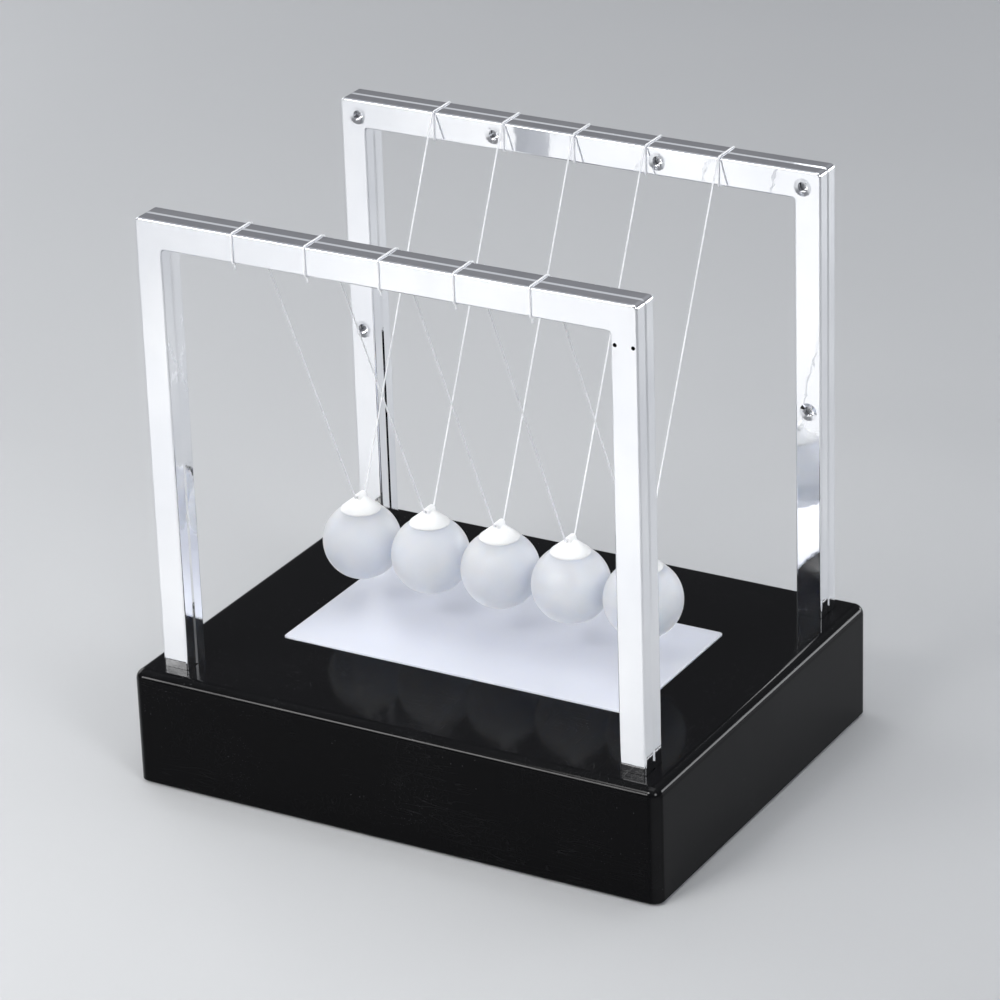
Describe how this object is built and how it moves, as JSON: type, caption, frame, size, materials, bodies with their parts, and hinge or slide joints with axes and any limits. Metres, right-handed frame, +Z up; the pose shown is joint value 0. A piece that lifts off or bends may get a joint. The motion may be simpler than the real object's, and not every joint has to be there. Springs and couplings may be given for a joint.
{
  "type": "newtons cradle",
  "caption": "Desk newton's cradle: frosted balls on V-shaped nylon lines between two inverted-U chromed frames, over a glossy black battery base with a frosted light panel.",
  "frame": {"origin": "centre of the ground plane under the rubber feet", "axes": "+X along the row of balls, +Y from the front frame to the rear frame, +Z up"},
  "size_m": [0.176, 0.1368, 0.1798],
  "materials": {
    "gloss_black": "polished black moulding",
    "matte_black": "fine grained black moulding",
    "chrome_plate": "bright chrome plating over moulded plastic",
    "frosted_panel": "satin frosted light diffuser",
    "frosted_ball": "frosted translucent white",
    "cap_white": "satin white moulding",
    "nylon_line": "clear nylon monofilament",
    "screw_steel": "zinc plated",
    "foot_rubber": "soft matt rubber",
    "cell_jacket": "printed steel jacket, no marks",
    "contact_metal": "nickel plated",
    "tray_white": "white moulding",
    "board_green": "solder mask",
    "led_lens": "diffused lens",
    "chip_black": "moulded packages",
    "lead_insulation": "flexible insulation"
  },
  "bodies": {
    "root": {"base_housing": "gloss_black", "base_bottom_cover": "matte_black", "battery_door": "matte_black", "battery_door_screw": "screw_steel", "battery_cells": "cell_jacket", "battery_contacts": "contact_metal", "switch_body": "matte_black", "diffuser_panel": "frosted_panel", "reflector_tray": "tray_white", "led_board": "board_green", "leds": "led_lens", "board_components": "chip_black", "tray_screws": "screw_steel", "bottom_cover_screws": "screw_steel", "leg_screws": "screw_steel", "rubber_feet": "foot_rubber", "wire_leads": "lead_insulation", "front_frame_outer_half": "chrome_plate", "front_frame_inner_half": "chrome_plate", "front_frame_screws": "screw_steel", "front_bar_line_loops": "nylon_line", "rear_frame_outer_half": "chrome_plate", "rear_frame_inner_half": "chrome_plate", "rear_frame_screws": "screw_steel", "rear_bar_line_loops": "nylon_line"},
    "pendulum_1": {"ball_1": "frosted_ball", "ball_cap_1": "cap_white", "ball_line_1": "nylon_line"},
    "pendulum_2": {"ball_2": "frosted_ball", "ball_cap_2": "cap_white", "ball_line_2": "nylon_line"},
    "pendulum_3": {"ball_3": "frosted_ball", "ball_cap_3": "cap_white", "ball_line_3": "nylon_line"},
    "pendulum_4": {"ball_4": "frosted_ball", "ball_cap_4": "cap_white", "ball_line_4": "nylon_line"},
    "pendulum_5": {"ball_5": "frosted_ball", "ball_cap_5": "cap_white", "ball_line_5": "nylon_line"},
    "switch_slider": {"switch_knob": "matte_black"}
  },
  "joints": [
    {"name": "ball_1_swing", "type": "hinge", "parent": "root", "child": "pendulum_1", "pos_m": [-0.048, 0, 0.1791], "axis": [0, 1, 0], "range_deg": [0, 50]},
    {"name": "ball_5_swing", "type": "hinge", "parent": "root", "child": "pendulum_5", "pos_m": [0.048, 0, 0.1791], "axis": [0, 1, 0], "range_deg": [-45, 0]},
    {"name": "ball_4_swing", "type": "hinge", "parent": "root", "child": "pendulum_4", "pos_m": [0.024, 0, 0.1791], "axis": [0, 1, 0], "range_deg": [-45, 0]},
    {"name": "ball_3_swing", "type": "hinge", "parent": "root", "child": "pendulum_3", "pos_m": [0, 0, 0.1791], "axis": [0, 1, 0], "range_deg": [-45, 0]},
    {"name": "ball_2_swing", "type": "hinge", "parent": "root", "child": "pendulum_2", "pos_m": [-0.024, 0, 0.1791], "axis": [0, 1, 0], "range_deg": [-45, 0]},
    {"name": "switch_slide", "type": "slide", "parent": "root", "child": "switch_slider", "axis": [1, 0, 0], "range_m": [0, 0.004]}
  ],
  "couplings": [
    {"joint": "ball_4_swing", "follows": "ball_5_swing", "ratio": 1},
    {"joint": "ball_3_swing", "follows": "ball_5_swing", "ratio": 1},
    {"joint": "ball_2_swing", "follows": "ball_5_swing", "ratio": 1}
  ]
}
